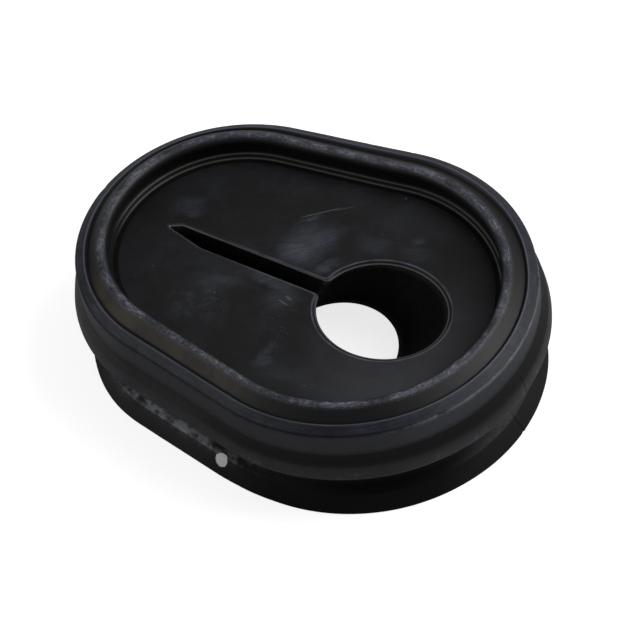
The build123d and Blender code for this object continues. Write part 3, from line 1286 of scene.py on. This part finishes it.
        total = total + cloud * grain * 0.20 + cloud * 0.03
        total = total + sheet.noise(coords, *self.blotch).step(0.46, 0.70) * 0.06
        flecks = sheet.noise(coords, *self.fleck).step(0.62, 0.70)
        rubbed = [sheet.patch(ragged, *place, 0.8) * share for *place, share in self.rubbed]
        return (total + flecks * (rubbed[0] + rubbed[1] + rubbed[2]) * 0.45).clamp()

    def make(self, names: list[str]) -> bpy.types.Material:
        """Builds the material.

        Two shaders are mixed as lit and shaded copies of the rubber: a half-gloss one for what stands out
        and a darker, less shiny one that paints shade into hollows and shaded zones. Colours are laid
        over each other in the order of the layers; many layers are painted highlights, reflections and
        shade.

        Args:
            names: the mesh's mask attributes.

        Returns:
            The material, ready for the seal's mesh.
        """
        material = bpy.data.materials.new("black_rubber_finish")
        sheet = NodeSheet(material)
        coords = sheet.add("TexCoord").outputs["Object"]
        zone = SimpleNamespace(**{name: sheet.attribute(name) for name in names})
        stretched = sheet.add("CombineXYZ", i0=zone.along, i1=zone.across * self.streak_stretch)
        grains = (self.fine, self.grit, self.mottle, self.patchy, self.cloud, self.slow)
        fine, grit, mottle, patchy, cloud, slow = (sheet.noise(coords, *grain) for grain in grains)
        streak, hair = (sheet.noise(stretched, *grain) for grain in (self.streak, self.hair))
        speckle = (grit * 0.6 + fine * 0.4).step(0.44, 0.58)
        spark = (grit * 0.35 + hair * 0.65).step(0.50, 0.60)
        lines = (streak * 0.6 + hair * 0.4).step(0.44, 0.60)
        scratch = (streak * 0.5 + hair * 0.5).step(0.56, 0.66)
        spotty = patchy * 0.6 + mottle * 0.4
        bare = spotty.step(0.42, 0.58)
        # Painted highlight: a mottled glossy streak on the foot's shoulder along the near straight.
        foot_highlight_streaks = (streak * 0.45 + grit * 0.55).step(0.48, 0.64) * spotty.step(0.44, 0.60)
        foot_highlight = zone.foot * zone.warm * zone.shoulder
        # Wear with painted highlight: mottled pale streaks along the bead's crest.
        crest_wear_and_highlight = zone.crest * (speckle * 0.45 + 0.22) * (patchy * 1.2 + 0.15) * (lines * 0.55 + 0.45)
        # Painted highlight: pale sparks along the bead's top, over its wear.
        core_highlight = zone.core * (spark * 0.62 + 0.12) * (patchy.step(0.36, 0.62) * 0.85 + 0.15)
        ledge_wear = zone.ledge * (lines * 0.80 + 0.22) * (1.20 - patchy.step(0.44, 0.64) * 0.75)
        haze = self.web_marks(sheet, coords)
        nick = sheet.ball(coords, self.nick, self.nick_radius, 0.3)
        layers = [
            # Painted sheen: a pool of light on the web's middle.
            (zone.glow * (cloud * 0.8 + 0.5), self.sheen),
            (haze * zone.web, self.haze),
            (nick * zone.web * 0.9, self.pit),
            # Painted reflection of a warm lamp on the bead's outer slope along the near straight.
            (zone.flank * zone.warm * (patchy.step(0.34, 0.66) * 0.7 + 0.4), self.warm_reflection),
            (crest_wear_and_highlight, self.wear_and_highlight),
            (core_highlight, self.painted_highlight),
            # Painted highlight: mottled glints on the bead's outer shoulder.
            (zone.crest_out * spark * patchy.step(0.45, 0.65) * 0.5, self.wear_and_highlight),
            (ledge_wear, self.brushed),
            (zone.ledge * scratch * 0.5, self.wear_and_highlight),
            # Painted highlight along the ledge's inner edge.
            (zone.inner_line * (cloud * 0.8 + 0.3), self.wear_and_highlight),
            # Painted shade in the groove between the bead and the ledge.
            (zone.groove * 0.9, self.deep),
            (zone.edge_dark * lines * 0.9, self.deep),
            # Painted highlight along the ledge's sharp outer edge, strongest at the ends.
            (zone.edge_line * patchy.step(0.30, 0.55) * (spark * 0.6 + 0.35), self.painted_highlight),
            # Painted reflection of the pale floor on the upright band under the ledge.
            (zone.band * (slow * 0.5 + 0.1), self.brushed),
            # Painted shade in the crease at the foot of the upright band.
            (zone.crease * 0.5, self.deep),
            # Painted reflection on the bulge's lower rounding, with scuffed speckle.
            (zone.low_rim * (patchy.step(0.48, 0.66) * speckle * 0.9 + 0.16), self.haze),
            (foot_highlight * (patchy * 0.7 + mottle * 0.3).step(0.36, 0.64) * 0.62, self.wear_and_highlight),
            (foot_highlight * foot_highlight_streaks * 0.42, self.painted_highlight),
            # Painted highlight: speckled glints on the foot's shoulder.
            (zone.shoulder * patchy.step(0.45, 0.7) * speckle * 0.4, self.wear_and_highlight),
            (zone.parting * 0.9, self.deep),
            # Painted highlight along the bore's upper edge, fainter along the slit.
            (zone.brim * (patchy.step(0.34, 0.60) * 0.6 + 0.40), self.wear_and_highlight),
        ]
        colour = self.base
        for mask, tint in layers:
            colour = sheet.mix(mask.clamp(), colour, tint)
        # Painted highlights: thin light lines on the lit far side of the step in the well, on the bore's
        # edges and along the slit.
        step_highlights = (zone.step_foot + zone.step_top) * (patchy * 0.5 + 0.45)
        lip_highlights = (zone.brim_in + zone.low_edge * 0.7) * 0.55 + zone.slit_line
        thin = (step_highlights + lip_highlights).clamp()
        colour = sheet.mix(thin, colour, self.line)
        wobble = sheet.add("TexNoise", Vector=coords, Scale=900.0, Detail=2.0).outputs["Color"]
        around_dab = sheet.vector("MULTIPLY_ADD", wobble, (self.dab_wobble * MM,) * 3, coords)
        dab_centre = tuple(v + self.dab_wobble / 2.0 for v in self.dab)
        dab = sheet.ball(around_dab, dab_centre, self.dab_radius, 0.12)
        colour = sheet.mix(dab, colour, self.paint)
        rough = 0.40 + mottle * 0.14 + haze * zone.web * 0.10 + zone.ledge * 0.06 + zone.flank * 0.04
        rough = (rough - zone.foot * zone.warm * bare * 0.12 + dab * 0.15).clamp()
        crest_height = zone.crest * (streak * 0.8 + grit * 0.8)
        height = fine * 0.20 + mottle * 0.55 + zone.ledge * streak * 1.4 + crest_height + dab * 1.5
        bump = sheet.add("Bump", Strength=0.35, Distance=self.bump_depth * MM, Height=height)
        gloss = sheet.add(
            "BsdfPrincipled", Base_Color=colour, Roughness=rough, Normal=bump, Specular_IOR_Level=0.5
        )
        # Base colour of the shaded copy: dark rubber with the painted highlight lines, kept dark in the
        # groove.
        shaded_base = sheet.mix((zone.groove * 0.5).clamp(), sheet.mix(thin, self.deep, self.line), self.deep)
        rough = (0.50 + mottle * 0.2).clamp()
        matt = sheet.add(
            "BsdfPrincipled", Base_Color=shaded_base, Roughness=rough, Normal=bump, Specular_IOR_Level=0.15
        )
        # Where the shaded copy paints shade: hollows and shaded zones, the groove, the dark band inside the
        # bore's step, the web's shaded ends, the foot away from the lit straight, the foot streak's gaps and
        # the crease; it also darkens the flash line at the ledge's edge and the mould's parting line, and
        # spares the paint dab and the highlight lines.
        share = zone.dull + zone.groove * 0.6 + zone.brim_dark * 0.9 + zone.edge_dark * 0.7
        share = share + zone.shade * 0.45
        share = share + zone.foot * (1.0 - zone.warm) * 0.4 + foot_highlight * (1.0 - bare) * 0.7
        share = (share + zone.crease * 0.3 + zone.parting - dab).clamp() * (1.0 - thin * 0.7)
        both = sheet.add("MixShader", i0=share.clamp(), i1=gloss, i2=matt)
        sheet.add("OutputMaterial", Surface=both)
        return material


@dataclass(frozen=True)
class Lamp:
    """Square soft lamp that faces the object.

    Its azimuth runs from -Y towards +X and its elevation from the floor, in degrees. Its distance and
    side are in metres, and its power in watts.
    """

    name: str
    azimuth: float
    elevation: float
    distance: float
    size: float
    power: float

    def build(self) -> None:
        """Puts up the lamp."""
        az, el = radians(self.azimuth), radians(self.elevation)
        way = Vector((np.sin(az) * np.cos(el), -np.cos(az) * np.cos(el), np.sin(el)))
        data = bpy.data.lights.new(self.name, "AREA")
        data.size = self.size
        data.energy = self.power
        lamp = put(self.name, data)
        lamp.location = way * self.distance
        lamp.rotation_euler = way.to_track_quat("Z", "Y").to_euler()


@dataclass
class Studio:
    """Camera, pale floor, world and soft lamps."""

    hole: Triple = (28.7, 0.0, 34.5)
    azimuth: float = 39.09
    elevation: float = 49.557
    roll: float = 10.222
    distance: float = 1328.6
    aside: float = -19.75
    above: float = 0.41
    focal_pixels: float = 4198.0
    frame_pixels: float = 640.0
    sensor: float = 36.0
    clip: Pair = (0.05, 20.0)
    floor_half: float = 6.0
    floor_glow: float = 0.78
    fill: float = 0.14
    floor_colour: Colour = (0.82, 0.82, 0.82, 1.0)
    fill_colour: Colour = (0.95, 0.97, 1.0, 1.0)
    white: Colour = (1.0, 1.0, 1.0, 1.0)
    lamps: tuple[Lamp, ...] = (
        Lamp("right_back", 130.0, 45.0, 1.6, 1.2, 14.0),
        Lamp("left_front", -49.0, 36.0, 1.5, 0.5, 3.2),
        Lamp("overhead", -160.0, 52.0, 1.6, 1.0, 0.35),
    )

    def camera(self) -> None:
        """Camera at the photograph's angle: it looks along a ray that passes beside the bore."""
        az, el, roll = radians(self.azimuth), radians(self.elevation), radians(self.roll)
        right = np.array([np.cos(az), np.sin(az), 0.0])
        back = np.array([np.sin(az) * np.cos(el), -np.cos(az) * np.cos(el), np.sin(el)])
        up = np.cross(back, right)
        across = right * np.cos(roll) - up * np.sin(roll)
        upward = right * np.sin(roll) + up * np.cos(roll)
        place = (np.array(self.hole) + right * self.aside + up * self.above + back * self.distance) * MM
        data = bpy.data.cameras.new("view")
        data.sensor_width = self.sensor
        data.lens = self.focal_pixels / self.frame_pixels * self.sensor
        data.clip_start, data.clip_end = self.clip
        camera = put("view", data)
        columns = np.column_stack([across, upward, back, place])
        camera.matrix_world = Matrix([*columns.tolist(), [0.0, 0.0, 0.0, 1.0]])
        bpy.context.scene.camera = camera

    def floor(self) -> None:
        """Pale floor under the foot, whose colour carries on in the world behind it."""
        half = self.floor_half
        mesh = bpy.data.meshes.new("floor")
        corners = [(-half, -half, 0.0), (half, -half, 0.0), (half, half, 0.0), (-half, half, 0.0)]
        mesh.from_pydata(corners, [], [(0, 1, 2, 3)])
        material = bpy.data.materials.new("pale_floor")
        sheet = NodeSheet(material)
        matt = sheet.add("BsdfDiffuse", Color=self.floor_colour)
        glow = sheet.add("Emission", Color=self.white, Strength=self.floor_glow)
        lit = sheet.add("AddShader", i0=matt, i1=glow)
        sheet.add("OutputMaterial", Surface=sheet.by_camera(matt, lit))
        mesh.materials.append(material)
        put("floor", mesh)

    def world(self) -> None:
        """Even white world that the camera sees as white and the object sees as a dim studio."""
        world = bpy.data.worlds.new("studio")
        bpy.context.scene.world = world
        sheet = NodeSheet(world)
        fill = sheet.add("Background", Color=self.fill_colour, Strength=self.fill)
        seen = sheet.add("Background", Color=self.white, Strength=1.0)
        sheet.add("OutputWorld", Surface=sheet.by_camera(fill, seen))

    def build(self) -> None:
        """Puts up the whole studio."""
        self.camera()
        self.floor()
        self.world()
        for lamp in self.lamps:
            lamp.build()
        bpy.context.scene.view_settings.view_transform = "Standard"


def main() -> None:
    """Builds the seal and its studio."""
    logging.basicConfig(level=logging.INFO, format="%(name)s %(message)s")
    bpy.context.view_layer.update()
    seal = SealBody().build()
    masks = [layer.name for layer in seal.data.attributes if layer.data_type == "FLOAT"]
    seal.data.materials.append(RubberFinish().make(masks))
    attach(seal, "root")
    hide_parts("column_seal")
    log.info("seal: %d faces", len(seal.data.polygons))
    Studio().build()
    log.info("studio: camera, floor, world and lamps")


if __name__ == "__main__":
    main()
